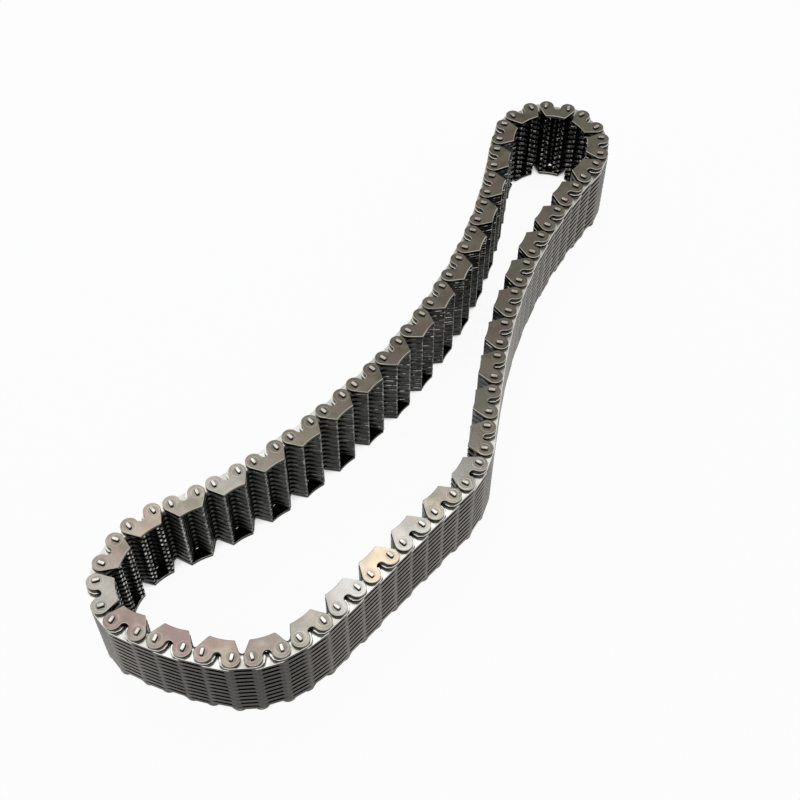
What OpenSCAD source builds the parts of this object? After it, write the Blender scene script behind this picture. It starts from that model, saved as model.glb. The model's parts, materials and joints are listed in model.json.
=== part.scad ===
// Endless silent chain (inverted-tooth chain) with rocker joints, standing on its edge.
// Rows of toothed link plates interleave. Every second row, a guide row, is closed on both
// sides by a guide plate that holds two long riveted pins; the mid rows between hold two
// short rocker pins each. A guide pin and a rocker pin roll on each other in every joint.
// Millimetres. X runs along the loop, Z along the pins, and the pin ends stand on Z = 0.

/* [Chain] */
// Distance between neighbouring joint axes
pitch = 9.525; // [9:0.025:12]
// Link plates in a mid row; a guide row has one fewer, between its two guide plates
mid_plates = 12; // [3:1:13]
// Thickness of every plate
plate_t = 1.57; // [1:0.01:2]
// Free play between neighbouring plates
side_play = 0.06; // [0.05:0.01:0.12]

/* [Link plates] */
// Gap between the round ends of two link plates that follow each other in one layer
lobe_gap = 1.125; // [0.8:0.025:1.8]
// Radius of the joint bores
bore_r = 1.85; // [1.7:0.05:2.2]
// Height of the teeth above the line of the joints
tooth_depth = 7.1; // [6.5:0.1:8]
// Radius of a tooth tip
toe_r = 0.8; // [0.5:0.05:1]
// Height of the crotch between the teeth above the line of the joints
crotch_depth = 1.9; // [1.2:0.1:2.6]
// Radius at the bottom of the crotch
crotch_r = 1.2; // [0.8:0.05:1.5]

/* [Guide plates] */
// Gap between neighbouring guide plates in a straight run
guide_gap = 0.85; // [0.4:0.05:1]
// Distance from a joint axis outwards to the centre of the guide plate's round end
guide_out = 0.65; // [0.3:0.05:0.8]
// Distance from the line of the joints back to the centre of the round end
guide_drop = 0.3; // [0:0.05:0.5]
// Height of the guide plate above the line of the joints
guide_depth = 7.1; // [6.5:0.1:8]
// Width of the guide plate across its two toes
guide_span = 10.5; // [9.5:0.1:11.5]
// Radius of the guide plate's toes
guide_toe_r = 0.6; // [0.4:0.05:0.9]
// Hollow of the edge between the toes
guide_dip = 0.45; // [0.2:0.05:0.8]
// Height of the notch in the guide plate's back above the line of the joints
notch_rise = 1.15; // [0.6:0.05:1.5]

/* [Pins] */
// Play between a pin and the bores and seats round it
pin_play = 0.05; // [0.04:0.01:0.1]
// Radius of the face on which two pins roll
rock_r = 4; // [3:0.1:5]
// Distance from a joint axis to the rolling face of each pin
rock_gap = 0.2; // [0.18:0.01:0.3]
// Width of a pin across the chain
pin_w = 3.1; // [2.4:0.05:3.2]
// Height by which the riveted pin ends stand proud of the guide plates
pin_proud = 0.9; // [0.3:0.05:1.2]

/* [Hidden] */
$fn = 64;
// Depth by which a flank or a notch runs into the rounds it joins
blend = 0.01;

guide_color = "#98928a";
link_color = "#5f5d58";
pin_color = "#c4bdb3";

// Layers of plates, counted from 0 at the bottom guide plate
layers = 2 * mid_plates + 1;
layer_step = plate_t + side_play;
chain_w = layers * layer_step - side_play + 2 * pin_proud;
lobe_r = (pitch - lobe_gap) / 2;
guide_r = (pitch - guide_gap) / 2 - guide_out;

// Rows round the loop, anticlockwise from above; the even ones are guide rows
rows = 84;
strand_rows = 15;
left_start = 26;
// Headings in degrees of the first and last row of each strand
strand_start = 25;
strand_end = -2;
// Headings along the tight end of the loop
tight_end = [[16, 27], [24, 199]];
// Headings of two rows of the left run that have a partner pointing the other way
left_swing = [[42, 173], [44, 172]];
// Row and heading; the rows between two entries turn evenly from one to the other.
// The two strands, and each pair of swing rows, point exactly opposite ways.
bends = concat(
    [[0, strand_start], [strand_rows - 1, strand_end]],
    tight_end,
    [[left_start, strand_start + 180], [left_start + strand_rows - 1, strand_end + 180]],
    left_swing,
    [[48, 164], [53, 151], [55, 178]],
    [[57, lookup(16, tight_end) + 180]],
    [[60, 278], [62, 285]],
    [[64, lookup(20, tight_end) + 180]],
    [[67, lookup(22, tight_end) + 180]],
    [[69, lookup(44, left_swing) + 180]],
    [[72, lookup(42, left_swing) + 180]],
    [[77, 352], [80, 387]],
    [[rows, strand_start + 360]]
);
swing_rows = [16, 20, 22, 42, 44, 57, 64, 67, 69, 72];

function along(angle) = [cos(angle), sin(angle)];
function across(angle) = [-sin(angle), cos(angle)];
function total(list) = [for (item = list) 1] * list;
function in_strand(row) =
    row < strand_rows || (row >= left_start && row < left_start + strand_rows);
function is_held(row) = in_strand(row) || len([for (s = swing_rows) if (s == row) s]) > 0;

// Turns the rows that have no partner a little, until the last joint meets the first
function closed(head, passes) =
    passes == 0 ? head :
    let (
        gap = total([for (h = head) along(h)]),
        free = [for (i = [0 : rows - 1]) is_held(i) ? 0 : 1],
        n = [for (h = head) across(h)],
        xx = total([for (i = [0 : rows - 1]) free[i] * n[i][0] * n[i][0]]),
        xy = total([for (i = [0 : rows - 1]) free[i] * n[i][0] * n[i][1]]),
        yy = total([for (i = [0 : rows - 1]) free[i] * n[i][1] * n[i][1]]),
        pull = [xy * gap[1] - yy * gap[0], xy * gap[0] - xx * gap[1]] / (xx * yy - xy * xy)
    )
    closed([for (i = [0 : rows - 1]) head[i] + free[i] * (n[i] * pull) * 180 / PI], passes - 1);

heading = closed([for (i = [0 : rows - 1]) lookup(i, bends)], 5);
loose_joints = [
    for (i = 0, j = [0, 0]; i < rows; j = j + pitch * along(heading[i]), i = i + 1) j
];
joints_x = [for (j = loose_joints) j[0]];
joints_y = [for (j = loose_joints) j[1]];
middle = [min(joints_x) + max(joints_x), min(joints_y) + max(joints_y)] / 2;
// Joint axis at the start of each row, with the loop's box centred on the origin
joints = [for (j = loose_joints) j - middle];

function polar(r, a) = [r * cos(a), r * sin(a)];
function flipped(points) = [for (i = [len(points) - 1 : -1 : 0]) [-points[i][0], points[i][1]]];
function layer_z(layer) = pin_proud + layer * layer_step;

// Link plate: flat back, round ends on the joints, and a tooth under each joint
toe_c = [pitch / 2, tooth_depth - toe_r];
flank_a = asin((lobe_r - toe_r) / toe_c[1]);
crotch_c = [0, crotch_depth + crotch_r];
toe_from_crotch = toe_c - crotch_c;
inner_a = atan2(toe_from_crotch[1], toe_from_crotch[0])
    - acos((toe_r + crotch_r) / norm(toe_from_crotch));
link_half = [
    [pitch / 2, blend - lobe_r],
    [pitch / 2, 0] + polar(lobe_r - blend, flank_a),
    toe_c + polar(toe_r - blend, flank_a),
    toe_c - polar(toe_r - blend, inner_a),
    crotch_c + polar(crotch_r - blend, inner_a)
];

module link_outline() {
    difference() {
        union() {
            polygon(concat(link_half, flipped(link_half)));
            for (side = [-1, 1]) {
                translate([side * pitch / 2, 0]) circle(lobe_r);
                translate([side * toe_c[0], toe_c[1]]) circle(toe_r);
            }
        }
        translate(crotch_c) circle(crotch_r);
        for (side = [-1, 1]) translate([side * pitch / 2, 0]) circle(bore_r);
    }
}

// Guide plate: round ends over the pins, a notch in the back and two toes with a hollow edge
guide_c = [pitch / 2 + guide_out, -guide_drop];
guide_toe_c = [guide_span / 2 - guide_toe_r, guide_depth - guide_toe_r];
guide_rise = guide_toe_c - guide_c;
guide_a = atan2(guide_rise[1], guide_rise[0]) - acos((guide_r - guide_toe_r) / norm(guide_rise));
// The notch's round meets the round ends smoothly
notch_h = notch_rise + guide_drop;
notch_r = (guide_c[0] * guide_c[0] + notch_h * notch_h - guide_r * guide_r) / (guide_r + notch_h) / 2
    + blend;
notch_c = [0, notch_rise - notch_r];
notch_a = 180 - atan2(notch_c[1] - guide_c[1], guide_c[0]);
guide_half = [
    guide_c + polar(guide_r - blend, notch_a),
    guide_c + polar(guide_r - blend, guide_a),
    guide_toe_c + polar(guide_toe_r - blend, guide_a),
    [guide_toe_c[0], guide_depth - blend]
];
dip_r = (guide_toe_c[0] * guide_toe_c[0] + guide_dip * guide_dip) / (2 * guide_dip);

module guide_outline() {
    difference() {
        union() {
            polygon(concat(guide_half, flipped(guide_half)));
            for (side = [-1, 1]) {
                translate([side * guide_c[0], guide_c[1]]) circle(guide_r);
                translate([side * guide_toe_c[0], guide_toe_c[1]]) circle(guide_toe_r);
            }
        }
        translate(notch_c) circle(notch_r);
        translate([0, guide_depth - guide_dip + dip_r]) circle(dip_r);
        pin_pair() pin_section(pin_play);
    }
}

// Pin: a round back that fills half of the bore, and a flatter rolling face towards the joint axis
module pin_section(play) {
    intersection() {
        circle(bore_r - pin_play + play);
        translate([rock_gap + rock_r, 0]) circle(rock_r + play);
        square([4 * bore_r, pin_w + 2 * play], center = true);
    }
}

module pin_pair() {
    for (turn = [0, 180]) rotate(turn) translate([pitch / 2, 0]) children();
}

module link_plates(first, last) {
    color(link_color)
    for (layer = [first : 2 : last])
        translate([0, 0, layer_z(layer)]) linear_extrude(plate_t) link_outline();
}

module guide_plates() {
    color(guide_color)
    for (layer = [0, layers - 1])
        translate([0, 0, layer_z(layer)]) linear_extrude(plate_t) guide_outline();
}

module riveted_pins() {
    color(pin_color) linear_extrude(chain_w) pin_pair() pin_section(0);
}

module rocker_pins() {
    color(pin_color)
    translate([0, 0, layer_z(1)])
        linear_extrude((layers - 2) * layer_step - side_play) pin_pair() pin_section(0);
}

module guide_row() {
    guide_plates();
    link_plates(2, layers - 3);
    riveted_pins();
}

module mid_row() {
    link_plates(1, layers - 2);
    rocker_pins();
}

module row(i) {
    translate(joints[i]) rotate(heading[i]) translate([pitch / 2, 0])
        if (i % 2 == 0) guide_row(); else mid_row();
}

module section(first, last) {
    for (i = [first : last]) row(i);
}

// Runs of rows that keep their bend, given by their first and last row
bent_runs = [
    [17, 19], [23, 25], [45, 47], [48, 50], [51, 53], [54, 56], [58, 60], [61, 63],
    [65, 66], [70, 71], [73, 75], [76, 78], [79, 81], [82, 83]
];
function in_bent_run(i) = len([for (r = bent_runs) if (i >= r[0] && i <= r[1]) i]) > 0;
function two_digits(i) = i < 10 ? str("0", i) : str(i);
function row_name(i) = str(i % 2 == 0 ? "guide_row_" : "mid_row_", two_digits(i));
// Name, first row and last row of every node
sections = concat(
    [for (i = [0 : rows - 1]) if (!in_bent_run(i)) [row_name(i), i, i]],
    [for (r = bent_runs) [str("rows_", r[0], "_to_", r[1]), r[0], r[1]]]
);

for (s = sections) section(s[1], s[2]);
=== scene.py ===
"""Looks of a silent chain: chamfered plates and pins with steel finishes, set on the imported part."""

import json
import math

import bmesh
import bpy
import numpy as np
from mathutils import Matrix, Vector


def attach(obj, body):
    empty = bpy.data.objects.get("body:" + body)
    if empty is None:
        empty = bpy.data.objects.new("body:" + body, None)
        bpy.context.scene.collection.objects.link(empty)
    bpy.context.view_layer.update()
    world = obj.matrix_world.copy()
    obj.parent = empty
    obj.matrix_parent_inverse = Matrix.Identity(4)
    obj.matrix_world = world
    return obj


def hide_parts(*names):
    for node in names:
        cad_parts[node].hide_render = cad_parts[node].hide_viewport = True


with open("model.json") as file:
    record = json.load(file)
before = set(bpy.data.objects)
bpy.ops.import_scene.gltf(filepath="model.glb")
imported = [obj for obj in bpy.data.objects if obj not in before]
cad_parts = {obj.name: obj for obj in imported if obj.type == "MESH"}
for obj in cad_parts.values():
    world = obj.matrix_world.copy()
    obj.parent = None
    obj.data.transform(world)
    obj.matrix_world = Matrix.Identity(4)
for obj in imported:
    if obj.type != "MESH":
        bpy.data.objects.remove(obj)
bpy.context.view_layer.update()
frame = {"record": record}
scene = bpy.context.scene

# Sizes in millimetres, as in the part's source
MM = 0.001
PITCH = 9.525
MID_PLATES = 12
PLATE_T, SIDE_PLAY = 1.57, 0.06
LOBE_GAP, BORE_R = 1.125, 1.85
TOOTH_DEPTH, TOE_R = 7.1, 0.8
CROTCH_DEPTH, CROTCH_R = 1.9, 1.2
GUIDE_GAP, GUIDE_OUT, GUIDE_DROP = 0.85, 0.65, 0.3
GUIDE_DEPTH, GUIDE_SPAN, GUIDE_TOE_R, GUIDE_DIP = 7.1, 10.5, 0.6, 0.45
NOTCH_RISE = 1.15
PIN_PLAY, PIN_W, PIN_PROUD = 0.05, 3.1, 0.9
ROCK_R, ROCK_GAP = 4.0, 0.2
LOBE_R = (PITCH - LOBE_GAP) / 2
GUIDE_R = (PITCH - GUIDE_GAP) / 2 - GUIDE_OUT
LAYERS = 2 * MID_PLATES + 1
LAYER_STEP = PLATE_T + SIDE_PLAY
CHAIN_W = LAYERS * LAYER_STEP - SIDE_PLAY + 2 * PIN_PROUD
ROCKER_LENGTH = (LAYERS - 2) * LAYER_STEP - SIDE_PLAY
PIN_MIDDLE = PITCH / 2 + (ROCK_GAP + BORE_R - PIN_PLAY) / 2

# Points on the round parts of the outlines
LOBE_STEPS, TOE_STEPS, CROTCH_STEPS, BORE_SIDES = 4, 3, 2, 6
GUIDE_END_STEPS, GUIDE_TOE_STEPS, GUIDE_EDGE_STEPS, NOTCH_STEPS = 20, 4, 8, 12
RIVETED_STEPS, ROCKER_STEPS = 6, 5
# Keeps a rim from spiking where its outline turns sharply
SHARPEST_TURN = 0.35
# Flat faces are joined across edges below this angle, in radians
FLAT_ANGLE = 0.01

# Course of the loop: the heading of some rows, the others turn evenly between them
ROWS, STRAND_ROWS, LEFT_START = 84, 15, 26
CLOSING_PASSES = 5
BENDS = [
    (0, 25), (14, -2), (16, 27), (24, 199), (26, 205), (40, 178), (42, 173), (44, 172),
    (48, 164), (53, 151), (55, 178), (57, 207), (60, 278), (62, 285), (64, 293), (67, 336),
    (69, 352), (72, 353), (77, 352), (80, 387), (84, 385),
]
SWING_ROWS = (16, 20, 22, 42, 44, 57, 64, 67, 69, 72)
# Rows with a temper colour on their guide plates or a painted dark reflection on their link backs, and how
# strongly
TINTS = {
    "blush": {54: 0.4, 56: 0.2, 58: 0.2, 60: 1.0, 62: 0.9, 64: 0.7, 66: 0.5, 70: 0.2},
    "straw": {46: 0.2, 54: 0.15, 64: 0.15, 72: 0.9},
    "pale": {50: 0.6, 58: 0.4, 68: 0.3, 70: 0.9, 74: 0.6, 78: 0.5},
    "dark_reflection": {
        61: 0.5, 62: 0.9, 63: 1.0, 64: 1.0, 65: 1.0, 66: 1.0, 67: 0.8, 68: 0.4, 73: 0.2, 74: 0.3, 75: 0.2,
    },
}
# Step between the random seeds of a body's pieces
SEED_STEP = 100

# Camera at the photograph's angle, for a square picture: degrees, metres and millimetres of lens
CAMERA_HEADING, CAMERA_TILT, CAMERA_ROLL = 34.158, 53.7, 0.228
CAMERA_PLACE = (-0.30344, -0.19216, 0.49732)
CAMERA_LENS, SENSOR_WIDTH = 59.49, 36
CLIP_NEAR, CLIP_FAR = 0.01, 50

# Studio: metres, and colours as linear light
FLOOR_HALF, NOOK_REACH, NOOK_SAMPLES = 6, 0.03, 8
FLOOR_COLOUR, FLOOR_ROUGHNESS = (0.85, 0.85, 0.85, 1), 0.9
WORLD_COLOUR, WORLD_STRENGTH = (0.75, 0.76, 0.78, 1), 0.7
WHITE = (1, 1, 1, 1)
LAMP_COLOUR, LAMP_HEIGHT = (0.86, 0.92, 1), 1.04


def course():
    """Start joint (mm) and heading (radians) of every row, closed as the part's source closes the loop."""
    rows = np.arange(ROWS)
    head = np.radians(np.interp(rows, *np.array(BENDS, float).T))
    strand = (rows < STRAND_ROWS) | ((rows >= LEFT_START) & (rows < LEFT_START + STRAND_ROWS))
    free = ~(strand | np.isin(rows, SWING_ROWS))
    for _ in range(CLOSING_PASSES):
        along = np.stack([np.cos(head), np.sin(head)], 1)
        across = np.stack([-np.sin(head), np.cos(head)], 1)
        pull = np.linalg.solve((across * free[:, None]).T @ across, -along.sum(0))
        head = head + free * (across @ pull)
    along = np.stack([np.cos(head), np.sin(head)], 1)
    joints = np.vstack([[0, 0], np.cumsum(PITCH * along, 0)[:-1]])
    return joints - (joints.min(0) + joints.max(0)) / 2, head


def rows_of(node):
    """Row numbers that a node holds, read from its name."""
    numbers = [int(word) for word in node.split("_") if word.isdigit()]
    return range(numbers[0], numbers[-1] + 1)


# Outlines of the plates and pins, anticlockwise, in a row's own frame
def arc(centre, radius, start, end, steps):
    """Points on an arc, in degrees, both ends included."""
    angles = np.radians(np.linspace(start, end, steps + 1))
    return [(centre[0] + radius * math.cos(a), centre[1] + radius * math.sin(a)) for a in angles]


def mirrored(points):
    """The points on the other side of the plate, still anticlockwise."""
    return [(-x, y) for x, y in reversed(points)]


def link_outline():
    """Flat back, round ends on the joints, and a tooth under each joint."""
    toe = (PITCH / 2, TOOTH_DEPTH - TOE_R)
    crotch = (0, CROTCH_DEPTH + CROTCH_R)
    flank = math.degrees(math.asin((LOBE_R - TOE_R) / toe[1]))
    rise = (toe[0], toe[1] - crotch[1])
    lean = math.acos((TOE_R + CROTCH_R) / math.hypot(*rise))
    inner = math.degrees(math.atan2(rise[1], rise[0]) - lean)
    right = arc((PITCH / 2, 0), LOBE_R, -90, flank, LOBE_STEPS)
    right += arc(toe, TOE_R, flank, 180 + inner, TOE_STEPS)
    hollow = arc(crotch, CROTCH_R, inner, -180 - inner, CROTCH_STEPS)
    return right + hollow + mirrored(right)


def guide_outline():
    """Round ends over the pins, a smooth notch in the back and two toes with a hollow edge."""
    end = (PITCH / 2 + GUIDE_OUT, -GUIDE_DROP)
    toe = (GUIDE_SPAN / 2 - GUIDE_TOE_R, GUIDE_DEPTH - GUIDE_TOE_R)
    rise = (toe[0] - end[0], toe[1] - end[1])
    lean = math.acos((GUIDE_R - GUIDE_TOE_R) / math.hypot(*rise))
    flank = math.degrees(math.atan2(rise[1], rise[0]) - lean)
    dip_r = (toe[0] ** 2 + GUIDE_DIP ** 2) / (2 * GUIDE_DIP)
    dip = (0, GUIDE_DEPTH - GUIDE_DIP + dip_r)
    sweep = math.degrees(math.asin(toe[0] / dip_r))
    height = NOTCH_RISE + GUIDE_DROP
    notch_r = (end[0] ** 2 + height ** 2 - GUIDE_R ** 2) / (2 * (GUIDE_R + height))
    notch = (0, NOTCH_RISE - notch_r)
    meet = math.degrees(math.atan2(end[1] - notch[1], end[0]))
    right = arc(end, GUIDE_R, 180 + meet, 360 + flank, GUIDE_END_STEPS)
    right += arc(toe, GUIDE_TOE_R, flank, 90, GUIDE_TOE_STEPS)
    edge = arc(dip, dip_r, -90 + sweep, -90 - sweep, GUIDE_EDGE_STEPS)[1:-1]
    top = arc(notch, notch_r, 180 - meet, meet, NOTCH_STEPS)[1:-1]
    return right + edge + mirrored(right) + top


def pin_outline(play, steps):
    """A round back that fills half of the bore, and a flatter rolling face towards the joint."""
    radius, half = BORE_R - PIN_PLAY + play, PIN_W / 2 + play
    back = math.degrees(math.asin(half / radius))
    face = math.degrees(math.asin(half / (ROCK_R + play)))
    rocking = arc((ROCK_GAP + ROCK_R, 0), ROCK_R + play, 180 - face, 180 + face, steps)
    return arc((0, 0), radius, -back, back, steps) + rocking


def head_outline(steps):
    """The peened end of a pin, a rounded block with as many points as the pin's outline."""
    angles = np.radians([*np.linspace(-80, 80, steps + 1), *np.linspace(100, 260, steps + 1)])
    wide, long = (np.sign(v) * np.sqrt(abs(v)) for v in (np.cos(angles), np.sin(angles)))
    half = (BORE_R - PIN_PLAY - ROCK_GAP) / 2
    return [(ROCK_GAP + half * (1 + w), PIN_W / 2 * s) for w, s in zip(wide, long)]


def bore_outline(sides):
    """A polygon just outside the round bore."""
    return arc((0, 0), BORE_R / math.cos(math.pi / sides), 0, 360, sides)[:-1]


def both_ends(outline):
    """The outline at each joint of a row."""
    shifted = [(x + PITCH / 2, y) for x, y in outline]
    return [shifted, [(-x, -y) for x, y in shifted]]


# Solid shapes from outlines
def inset(outline, depth):
    """The outline moved inwards; a hole, which runs clockwise, grows."""
    p = np.array(outline)
    ahead, behind = np.roll(p, -1, 0) - p, p - np.roll(p, 1, 0)
    normals = [
        np.stack([-e[:, 1], e[:, 0]], 1) / np.linalg.norm(e, axis=1)[:, None] for e in (ahead, behind)
    ]
    mean = normals[0] + normals[1]
    mean /= np.maximum(1 + (normals[0] * normals[1]).sum(1), SHARPEST_TURN)[:, None]
    return p + depth * mean


def rim(outline, profile):
    """Rings of a shaped rim from pairs of inset and depth."""
    return [(inset(outline, aside), depth) for aside, depth in profile]


def ring_edges(bm, loop):
    """The edges round a closed loop of vertices."""
    return [bm.edges.get((vert, loop[(i + 1) % len(loop)])) for i, vert in enumerate(loop)]


def wall(bm, rings, height):
    """A wall through rings, each its points and depth from the face, with the same rings at the top."""
    rings = rings + [(points, height - depth) for points, depth in reversed(rings)]
    loops = [[bm.verts.new((x * MM, y * MM, level * MM)) for x, y in points] for points, level in rings]
    count = len(loops[0])
    for low, high in zip(loops[:-1], loops[1:]):
        for i in range(count):
            bm.faces.new((low[i], low[(i + 1) % count], high[(i + 1) % count], high[i]))
    for loop in loops:
        for edge in ring_edges(bm, loop):
            edge.smooth = False
    return loops[0], loops[-1]


def close(bm, loops, up):
    """Fills one flat side between its outer loop and its holes, with as few faces as it can."""
    edges = [edge for loop in loops for edge in ring_edges(bm, loop)]
    made = bmesh.ops.triangle_fill(bm, use_beauty=True, edges=edges, normal=(0, 0, up))
    for face in [g for g in made["geom"] if isinstance(g, bmesh.types.BMFace)]:
        face.normal_update()
        if face.normal.z * up < 0:
            face.normal_flip()
    border = set(edges)
    inner = [g for g in made["geom"] if isinstance(g, bmesh.types.BMEdge) and g not in border]
    bmesh.ops.dissolve_limit(bm, angle_limit=FLAT_ANGLE, edges=inner)


def shape(name, bm):
    """An object with that mesh, which keeps each point's place on its plate in millimetres."""
    mesh = bpy.data.meshes.new(name)
    bm.to_mesh(mesh)
    bm.free()
    mesh.polygons.foreach_set("use_smooth", [True] * len(mesh.polygons))
    places = mesh.attributes.new("place", "FLOAT_VECTOR", "POINT")
    places.data.foreach_set("vector", [c / MM for v in mesh.vertices for c in v.co])
    made = bpy.data.objects.new(name, mesh)
    scene.collection.objects.link(made)
    return made


def plate_shape(name, outline, holes, edge, hole_edge):
    """A plate with shaped rims round its outline and its holes."""
    bm = bmesh.new()
    ends = [wall(bm, rim(outline, edge), PLATE_T)]
    ends += [wall(bm, rim(hole[::-1], hole_edge), PLATE_T) for hole in holes]
    close(bm, [low for low, high in ends], -1)
    close(bm, [high for low, high in ends], 1)
    return shape(name, bm)


def pin_shape(name, length, steps, edge, head_edge=None):
    """The two pins of a row; riveted ones have a peened head outside their guide plates."""
    bm = bmesh.new()
    for shank, head in zip(both_ends(pin_outline(0, steps)), both_ends(head_outline(steps))):
        rings = rim(shank, edge)
        if head_edge:
            rings = rim(head, head_edge) + rings
        low, high = wall(bm, rings, length)
        bm.faces.new(low[::-1])
        bm.faces.new(high)
    return shape(name, bm)


# Stacks of plates on the rows, as Geometry Nodes
class Tree:
    """Adds nodes to a node tree: type, settings, then values or links of its sockets."""

    def __init__(self, tree):
        self.tree = tree

    def node(self, kind, settings=None, inputs=None):
        made = self.tree.nodes.new(kind)
        for key, value in (settings or {}).items():
            setattr(made, key, value)
        for key, value in (inputs or {}).items():
            self.give(made.inputs[key], value)
        return made

    def give(self, socket, value):
        """Links or sets one socket."""
        value = value.out if isinstance(value, Value) else value
        if isinstance(value, bpy.types.NodeSocket):
            self.tree.links.new(value, socket)
        else:
            socket.default_value = value


class Value:
    """A number socket that adds Math nodes when it is used in an expression."""

    def __init__(self, tree, out):
        self.tree, self.out = tree, out

    def math(self, operation, *others):
        values = dict(enumerate((self, *others)))
        made = self.tree.node("ShaderNodeMath", {"operation": operation}, values)
        return Value(self.tree, made.outputs[0])

    def __add__(self, other):
        return self.math("ADD", other)

    def __sub__(self, other):
        return self.math("SUBTRACT", other)

    def __mul__(self, other):
        return self.math("MULTIPLY", other)

    def __abs__(self):
        return self.math("ABSOLUTE")

    def __rsub__(self, other):
        return self * -1 + other

    __radd__, __rmul__ = __add__, __mul__

    def between(self, low, high, start=0.0, end=1.0):
        """Maps low to start and high to end, smoothly and held at both."""
        made = self.tree.node(
            "ShaderNodeMapRange",
            {"interpolation_type": "SMOOTHSTEP"},
            {"Value": self, "From Min": low, "From Max": high, "To Min": start, "To Max": end},
        )
        return Value(self.tree, made.outputs[0])


STACK_SIZES = {
    "Shape": "NodeSocketObject", "Count": "NodeSocketInt", "First height": "NodeSocketFloat",
    "Rise": "NodeSocketFloat", "Seed": "NodeSocketInt", "Finish": "NodeSocketMaterial",
}


def stack_tree():
    """Puts a stack of one shape on each row point, turned to the row, each copy with its own tone."""
    group = bpy.data.node_groups.new("stack_on_rows", "GeometryNodeTree")
    group.interface.new_socket("Rows", in_out="INPUT", socket_type="NodeSocketGeometry")
    ids = {
        name: group.interface.new_socket(name, in_out="INPUT", socket_type=kind).identifier
        for name, kind in STACK_SIZES.items()
    }
    group.interface.new_socket("Stack", in_out="OUTPUT", socket_type="NodeSocketGeometry")
    tree = Tree(group)
    given = tree.node("NodeGroupInput").outputs
    copies = tree.node(
        "GeometryNodeDuplicateElements",
        {"domain": "POINT"},
        {"Geometry": given["Rows"], "Amount": given["Count"]},
    )
    height = Value(tree, copies.outputs["Duplicate Index"]) * given["Rise"] + given["First height"]
    lift = tree.node("ShaderNodeCombineXYZ", None, {"Z": height})
    lifted = tree.node(
        "GeometryNodeSetPosition", None, {"Geometry": copies.outputs[0], "Offset": lift.outputs[0]}
    )
    turn = tree.node("GeometryNodeInputNamedAttribute", {"data_type": "FLOAT"}, {"Name": "turn"})
    spin = tree.node("ShaderNodeCombineXYZ", None, {"Z": turn.outputs["Attribute"]})
    form = tree.node("GeometryNodeObjectInfo", None, {"Object": given["Shape"]})
    placed = tree.node(
        "GeometryNodeInstanceOnPoints",
        None,
        {"Points": lifted.outputs[0], "Instance": form.outputs["Geometry"], "Rotation": spin.outputs[0]},
    )
    chance = tree.node("FunctionNodeRandomValue", {"data_type": "FLOAT"}, {"Seed": given["Seed"]})
    toned = tree.node(
        "GeometryNodeStoreNamedAttribute",
        {"data_type": "FLOAT", "domain": "INSTANCE"},
        {"Geometry": placed.outputs[0], "Name": "tone", "Value": chance.outputs[1]},
    )
    plain = tree.node("GeometryNodeRealizeInstances", None, {"Geometry": toned.outputs[0]})
    finished = tree.node(
        "GeometryNodeSetMaterial", None, {"Geometry": plain.outputs[0], "Material": given["Finish"]}
    )
    tree.node("NodeGroupOutput", None, {"Stack": finished.outputs[0]})
    return group, ids


def row_points(name, rows):
    """A point at the middle of each row, with the row's turn and tints."""
    mesh = bpy.data.meshes.new(name)
    headings = [np.array([math.cos(HEADINGS[i]), math.sin(HEADINGS[i])]) for i in rows]
    middles = [JOINTS[i] + PITCH / 2 * along for i, along in zip(rows, headings)]
    mesh.from_pydata([(x * MM, y * MM, 0) for x, y in middles], [], [])
    values = {"turn": [HEADINGS[i] for i in rows]}
    values.update({tint: [strength.get(i, 0.0) for i in rows] for tint, strength in TINTS.items()})
    for key, numbers in values.items():
        mesh.attributes.new(key, "FLOAT", "POINT").data.foreach_set("value", numbers)
    points = bpy.data.objects.new(name, mesh)
    scene.collection.objects.link(points)
    return points


def stack(name, group, ids, rows, sizes):
    """A plain mesh object with the stacks of these rows."""
    base = row_points(name + "_rows", rows)
    modifier = base.modifiers.new("stack", "NODES")
    modifier.node_group = group
    for key, value in sizes.items():
        modifier[ids[key]] = value
    bpy.context.view_layer.update()
    graph = bpy.context.evaluated_depsgraph_get()
    mesh = bpy.data.meshes.new_from_object(
        base.evaluated_get(graph), preserve_all_data_layers=True, depsgraph=graph
    )
    mesh.name = name
    bpy.data.objects.remove(base)
    made = bpy.data.objects.new(name, mesh)
    scene.collection.objects.link(made)
    return made


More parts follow.
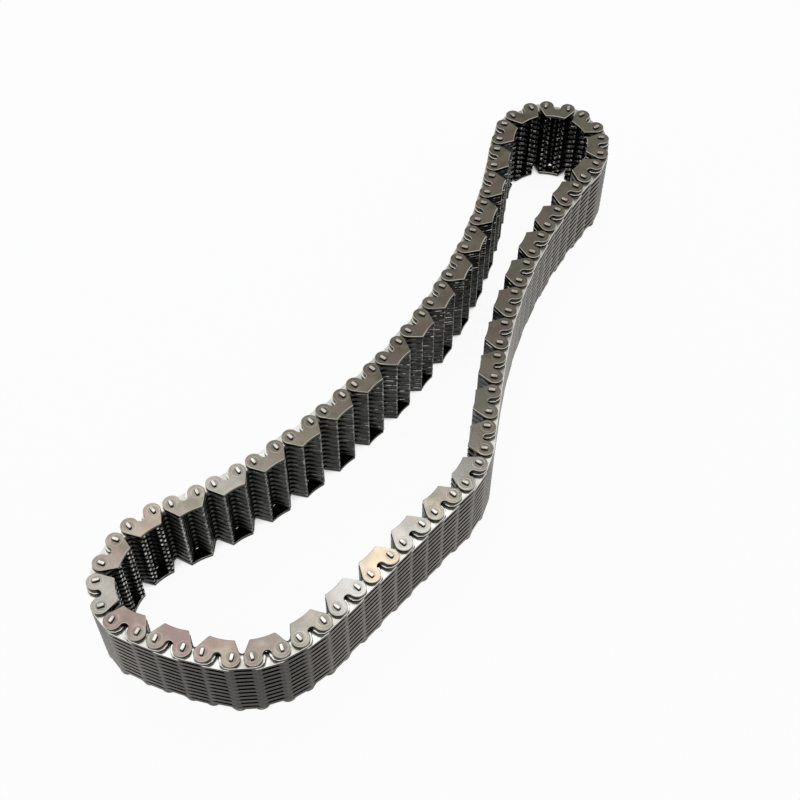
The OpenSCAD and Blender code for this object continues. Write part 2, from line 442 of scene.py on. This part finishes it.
# Finishes
class Paint(Tree):
    """The node tree of one finish."""

    def __init__(self, name):
        self.material = bpy.data.materials.new(name)
        self.material.use_nodes = True
        super().__init__(self.material.node_tree)
        self.shader = self.tree.nodes["Principled BSDF"]
        self.space = self.node("ShaderNodeTexCoord").outputs["Object"]
        self.tone = self.attribute("tone")

    def attribute(self, name):
        return Value(self, self.node("ShaderNodeAttribute", {"attribute_name": name}).outputs["Fac"])

    def parts(self, vector):
        """The X, Y and Z of a vector socket."""
        return [Value(self, out) for out in self.node("ShaderNodeSeparateXYZ", None, {0: vector}).outputs]

    def place(self):
        """X, Y and Z on the plate itself, in millimetres."""
        return self.parts(self.node("ShaderNodeAttribute", {"attribute_name": "place"}).outputs["Vector"])

    def facing(self):
        """Z of the true normal: 1 on a face that looks up, 0 on a wall, -1 on a face that looks down."""
        return self.parts(self.node("ShaderNodeNewGeometry").outputs["True Normal"])[2]

    def noise(self, scale, detail=3.0, rough=0.55, stretch=(1, 1, 1)):
        turned = self.node("ShaderNodeMapping", None, {"Vector": self.space, "Scale": stretch})
        settings = {"Vector": turned.outputs[0], "Scale": scale, "Detail": detail, "Roughness": rough}
        return Value(self, self.node("ShaderNodeTexNoise", None, settings).outputs[0])

    def mix(self, share, one, two):
        made = self.node("ShaderNodeMix", {"data_type": "RGBA"}, {0: share, 6: one, 7: two})
        return made.outputs[2]

    def bump(self, *layers):
        """Bump nodes in a chain; a layer is a height, its strength and its depth in millimetres."""
        last = None
        for height, strength, depth in layers:
            values = {"Height": height, "Strength": strength, "Distance": depth * MM}
            if last is not None:
                values["Normal"] = last
            last = self.node("ShaderNodeBump", None, values).outputs[0]
        return last

    def finish(self, **sockets):
        for name, value in sockets.items():
            self.give(self.shader.inputs[name.replace("_", " ").title()], value)
        return self.material


def rim_of(upright):
    """The chamfers, between the flat faces and the walls."""
    return upright.between(0.25, 0.45) * upright.between(0.97, 0.85)


def guide_steel():
    """Ground guide plates: satin steel with temper tints, oily stains and staking rings, rims bright from
    wear and a painted highlight, and painted shade on the walls, round the pins and on the faces that look
    into the chain.
    """
    paint = Paint("guide_steel")
    x, y, _ = paint.place()
    facing = paint.facing()
    upright = abs(facing)
    stain = paint.noise(110, 4)
    cloud = paint.noise(42, 2)
    film = paint.noise(75, 2)
    grain = paint.noise(2600, 2)
    # Distance from the middle of the nearer pin
    off = abs(x) - PIN_MIDDLE
    reach = (off * off + y * y).math("SQRT")
    ring = reach.between(2.3, 2.5) * reach.between(3.0, 2.7)
    # Where the painted shade round each pin's foot falls
    pin_foot_shade = reach.between(2.3, 1.7)

    ground, stained = (0.135, 0.117, 0.091, 1), (0.082, 0.071, 0.053, 1)
    olive, rose, light = (0.098, 0.103, 0.076, 1), (0.128, 0.094, 0.083, 1), (0.15, 0.134, 0.11, 1)
    steel = paint.mix(stain.between(0.38, 0.64), ground, stained)
    steel = paint.mix(cloud.between(0.5, 0.62, 0, 0.7), steel, olive)
    steel = paint.mix(film.between(0.5, 0.62, 0, 0.6), steel, rose)
    steel = paint.mix(paint.tone * 0.35, steel, light)
    blush = paint.attribute("blush") * stain.between(0.3, 0.6, 0.25, 0.95)
    steel = paint.mix(blush, steel, (0.1, 0.067, 0.059, 1))
    straw = paint.attribute("straw") * film.between(0.25, 0.6, 0.4, 0.95)
    steel = paint.mix(straw, steel, (0.21, 0.16, 0.108, 1))
    pale = paint.attribute("pale") * cloud.between(0.3, 0.6, 0.5, 1)
    steel = paint.mix(pale, steel, (0.163, 0.151, 0.135, 1))
    steel = paint.mix(ring * 0.25, steel, (0.18, 0.162, 0.134, 1))
    # Painted shade: a dark halo round the foot of each pin
    steel = paint.mix(pin_foot_shade * 0.4, steel, (0.05, 0.044, 0.036, 1))
    # The faces that look into the chain are oily, and painted dark as shade between the plates
    level = paint.parts(paint.space)[2] * (1 / MM) - CHAIN_W / 2
    inward_shade = (level * facing).between(2, -2)
    steel = paint.mix(inward_shade, steel, (0.045, 0.042, 0.036, 1))
    # Painted shade: the walls are darker than the flat faces
    steel = paint.mix(upright.between(0.25, 0.05), steel, (0.035, 0.032, 0.028, 1))
    # The chamfers are bright from wear, brightened further as a painted highlight
    rubbed_and_highlit = rim_of(upright) * stain.between(0.3, 0.6, 0.45, 0.95)
    steel = paint.mix(rubbed_and_highlit, steel, (0.56, 0.53, 0.47, 1))
    rough = stain * 0.1 + grain * 0.05 + 0.12
    bumps = paint.bump((grain, 0.22, 0.02), (stain, 0.2, 0.06), (ring, 0.4, 0.02))
    return paint.finish(base_color=steel, roughness=rough, metallic=1.0, normal=bumps)


def link_steel():
    """Blanked link plates: oily black teeth with painted shade, grey backs with a painted dark reflection
    on some rows, and painted highlights on the faces near the back, which are also bright from wiping, on
    the rims and on the tooth tips.
    """
    paint = Paint("link_steel")
    _, y, _ = paint.place()
    upright = abs(paint.facing())
    stain = paint.noise(140, 3)
    streak = paint.noise(700, 2, stretch=(1, 1, 0.15))
    scuff_and_glint = paint.noise(330, 3, stretch=(1, 1, 2.5))
    along, _, up = paint.parts(paint.space)

    # The teeth are oily black, darkened further as painted shade inside the loop
    black, dark = (0.022, 0.022, 0.021, 1), (0.046, 0.046, 0.043, 1)
    oiled_and_shaded = paint.mix(stain.between(0.35, 0.7), black, dark)
    back = y.between(-3.7, -4.1)
    grey, lighter = (0.066, 0.059, 0.047, 1), (0.128, 0.114, 0.092, 1)
    worn_and_shaded = paint.mix(streak.between(0.3, 0.75), grey, lighter)
    worn_and_shaded = paint.mix(paint.tone * 0.5, worn_and_shaded, (0.06, 0.054, 0.043, 1))
    # Painted shade: the backs of some rows are darkened, standing in for a dark reflection
    dark_reflection = paint.attribute("dark_reflection")
    worn_and_shaded = paint.mix(dark_reflection * 0.8, worn_and_shaded, (0.023, 0.019, 0.013, 1))
    # The tooth tips show wear and painted highlight dots, most of all at the wide end of the loop
    tip = y.between(6.85, 7.05)
    dots = scuff_and_glint.between(0.4, 0.62) * along.between(-0.14, -0.1, 1, 0.35)
    rubbed_and_highlit = paint.mix(dots, (0.035, 0.034, 0.032, 1), (0.62, 0.6, 0.57, 1))
    steel = paint.mix(back, oiled_and_shaded, worn_and_shaded)
    steel = paint.mix(tip, steel, rubbed_and_highlit)
    # Only the flat faces next to the guide plates are made bright near the back, by wiping and by a
    # painted highlight
    level = up * (1 / MM) - CHAIN_W / 2
    outer = (CHAIN_W / 2 - 5.2, CHAIN_W / 2 - 4.6)
    topmost = level.between(*outer)
    outermost = abs(level).between(*outer)
    wiped_and_highlit, smeared_and_highlit = (0.44, 0.42, 0.38, 1), (0.28, 0.265, 0.23, 1)
    bright = paint.mix(stain.between(0.35, 0.7), wiped_and_highlit, smeared_and_highlit)
    faces = upright.between(0.9, 0.98) * y.between(1.5, 0.5) * outermost
    steel = paint.mix(faces, steel, bright)
    edge = rim_of(upright)
    # Painted highlights: bright rims on the backs, weaker on the rows with the painted dark reflection,
    # and brighter rims on top of the topmost plates near the back
    steel = paint.mix(edge * back * (0.6 - dark_reflection * 0.4), steel, (0.4, 0.38, 0.34, 1))
    steel = paint.mix(edge * topmost * y.between(2, 1), steel, (0.9, 0.88, 0.84, 1))
    glint = scuff_and_glint.between(0.46, 0.6) * paint.tone.between(0.2, 0.8, 0.15, 0.95)
    glint = glint * along.between(-0.06, 0.02, 0.2, 1)
    steel = paint.mix(edge * y.between(2.5, 4) * glint, steel, (0.85, 0.83, 0.79, 1))
    rough = stain * 0.16 + 0.24
    bumps = paint.bump((streak, 0.2, 0.03))
    return paint.finish(base_color=steel, roughness=rough, metallic=1.0, normal=bumps)


def pin_steel():
    """Hardened pins: bright peened ends, over shanks painted dark as shade."""
    paint = Paint("pin_steel")
    upright = abs(paint.facing())
    stain = paint.noise(420, 3)
    peened, stained = (0.34, 0.32, 0.285, 1), (0.22, 0.205, 0.18, 1)
    steel = paint.mix(stain.between(0.35, 0.7), peened, stained)
    steel = paint.mix(paint.tone * 0.35, steel, (0.44, 0.415, 0.375, 1))
    # Painted shade: the sides of the pins are darker than their ends
    steel = paint.mix(upright.between(0.3, 0.05), steel, (0.04, 0.037, 0.032, 1))
    rough = stain * 0.15 + 0.2
    bumps = paint.bump((stain, 0.3, 0.05))
    return paint.finish(base_color=steel, roughness=rough, metallic=1.0, normal=bumps)


JOINTS, HEADINGS = course()
# Rims as pairs of inset and depth in millimetres
GUIDE_RIM = [(0.2, 0.0), (0.0, 0.2)]
LINK_RIM = [(0.15, 0.0), (0.0, 0.15)]
SEAT_RIM, BORE_RIM = [(0.08, 0.0), (0.0, 0.08)], [(0.0, 0.0)]
HEAD_RIM = [(0.26, 0.0), (0.08, 0.07), (0.0, 0.26), (0.0, PIN_PROUD - 0.02)]
SHANK_RIM, ROCKER_RIM = [(0.0, PIN_PROUD)], [(0.12, 0.0), (0.0, 0.12)]
seats = both_ends(pin_outline(PIN_PLAY, RIVETED_STEPS))
bores = both_ends(bore_outline(BORE_SIDES))
guide_form = plate_shape("guide_form", guide_outline(), seats, GUIDE_RIM, SEAT_RIM)
link_form = plate_shape("link_form", link_outline(), bores, LINK_RIM, BORE_RIM)
riveted_form = pin_shape("riveted_form", CHAIN_W, RIVETED_STEPS, SHANK_RIM, HEAD_RIM)
rocker_form = pin_shape("rocker_form", ROCKER_LENGTH, ROCKER_STEPS, ROCKER_RIM)

steels = {"guide_steel": guide_steel(), "link_steel": link_steel(), "pin_steel": pin_steel()}
# Piece, its row's parity, form, finish, number in a stack, lowest layer, and layers to the next
KINDS = [
    ("guide_plates", 0, guide_form, "guide_steel", 2, 0, LAYERS - 1),
    ("guide_row_links", 0, link_form, "link_steel", MID_PLATES - 1, 2, 2),
    ("riveted_pins", 0, riveted_form, "pin_steel", 1, None, 0),
    ("mid_row_links", 1, link_form, "link_steel", MID_PLATES, 1, 2),
    ("rocker_pins", 1, rocker_form, "pin_steel", 1, 1, 0),
]
group, ids = stack_tree()
for number, (body, nodes) in enumerate(frame["record"]["behaviour"]["bodies"].items()):
    rows = [i for node in nodes for i in rows_of(node)]
    made = []
    for kind, parity, form, finish, count, layer, rise in KINDS:
        own = [i for i in rows if i % 2 == parity]
        if not own:
            continue
        first = 0 if layer is None else PIN_PROUD + layer * LAYER_STEP
        sizes = {
            "Shape": form, "Count": count, "First height": first * MM, "Rise": rise * LAYER_STEP * MM,
            "Seed": SEED_STEP * len(made) + number, "Finish": steels[finish],
        }
        ending = "row_%02d" % own[0] if len(rows) == 1 else body
        piece = stack(kind + "_" + ending, group, ids, own, sizes)
        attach(piece, body)
        made.append(piece)
    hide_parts(*nodes)
for form in (guide_form, link_form, riveted_form, rocker_form):
    bpy.data.objects.remove(form)


# Camera, floor and light
def place_camera():
    """Sets up the camera that the picture is taken with."""
    heading, tilt, roll = (math.radians(a) for a in (CAMERA_HEADING, CAMERA_TILT, CAMERA_ROLL))
    ahead, side = math.cos(heading), math.sin(heading)
    look = Vector((ahead * math.cos(tilt), side * math.cos(tilt), -math.sin(tilt)))
    right = Vector((math.sin(heading), -math.cos(heading), 0))
    up = right.cross(look)
    across = math.cos(roll) * right + math.sin(roll) * up
    above = -math.sin(roll) * right + math.cos(roll) * up
    data = bpy.data.cameras.new("camera")
    data.sensor_width, data.lens = SENSOR_WIDTH, CAMERA_LENS
    data.clip_start, data.clip_end = CLIP_NEAR, CLIP_FAR
    camera = bpy.data.objects.new("camera", data)
    scene.collection.objects.link(camera)
    turn = Matrix((across, above, -look)).transposed().to_4x4()
    camera.matrix_world = Matrix.Translation(CAMERA_PLACE) @ turn
    scene.camera = camera


def seen_by_eye(tree):
    """1 where the camera, a reflection or a refraction looks, 0 where light falls."""
    path = tree.node("ShaderNodeLightPath").outputs
    seen = Value(tree, path["Is Camera Ray"]).math("MAXIMUM", path["Is Glossy Ray"])
    return seen.math("MAXIMUM", path["Is Transmission Ray"])


def lay_floor():
    """A pale floor that is seen white, except in the dark under the chain."""
    bm = bmesh.new()
    bmesh.ops.create_grid(bm, x_segments=1, y_segments=1, size=FLOOR_HALF)
    mesh = bpy.data.meshes.new("floor")
    bm.to_mesh(mesh)
    bm.free()
    floor = bpy.data.objects.new("floor", mesh)
    scene.collection.objects.link(floor)
    material = bpy.data.materials.new("pale_floor")
    material.use_nodes = True
    tree = Tree(material.node_tree)
    nodes = material.node_tree.nodes
    lit = nodes["Principled BSDF"]
    lit.inputs["Base Color"].default_value = FLOOR_COLOUR
    lit.inputs["Roughness"].default_value = FLOOR_ROUGHNESS
    white = tree.node("ShaderNodeEmission", None, {"Color": WHITE, "Strength": 1.0})
    nook = tree.node("ShaderNodeAmbientOcclusion", {"samples": NOOK_SAMPLES}, {"Distance": NOOK_REACH})
    share = seen_by_eye(tree) * Value(tree, nook.outputs["AO"]).between(0, 0.3, 0, 0.95)
    shown = tree.node("ShaderNodeMixShader", None, {0: share, 1: lit.outputs[0], 2: white.outputs[0]})
    tree.give(nodes["Material Output"].inputs["Surface"], shown.outputs[0])
    mesh.materials.append(material)


def light_world():
    """A grey studio that is seen white."""
    world = bpy.data.worlds.new("studio")
    scene.world = world
    world.use_nodes = True
    tree = Tree(world.node_tree)
    nodes = world.node_tree.nodes
    lit = nodes["Background"]
    lit.inputs["Color"].default_value = WORLD_COLOUR
    lit.inputs["Strength"].default_value = WORLD_STRENGTH
    white = tree.node("ShaderNodeBackground", None, {"Color": WHITE, "Strength": 1.0})
    share = seen_by_eye(tree)
    shown = tree.node("ShaderNodeMixShader", None, {0: share, 1: lit.outputs[0], 2: white.outputs[0]})
    tree.give(nodes["World Output"].inputs["Surface"], shown.outputs[0])


def hang_lamp(name, spot, size, power):
    """An area lamp over a spot of the floor, facing down."""
    data = bpy.data.lights.new(name, "AREA")
    data.shape, data.size, data.size_y = "RECTANGLE", size[0], size[1]
    data.energy, data.color = power, LAMP_COLOUR
    lamp = bpy.data.objects.new(name, data)
    scene.collection.objects.link(lamp)
    lamp.location = (*spot, LAMP_HEIGHT)
    lamp.rotation_mode = "QUATERNION"
    lamp.rotation_quaternion = Vector((0, 0, -LAMP_HEIGHT)).to_track_quat("-Z", "Y")


place_camera()
lay_floor()
light_world()
hang_lamp("key_softbox", spot=(0.38, 0.26), size=(0.24, 0.2), power=1.1)
hang_lamp("left_panel", spot=(0.21, 0.47), size=(0.34, 0.36), power=1.6)

scene.view_settings.view_transform = "Standard"
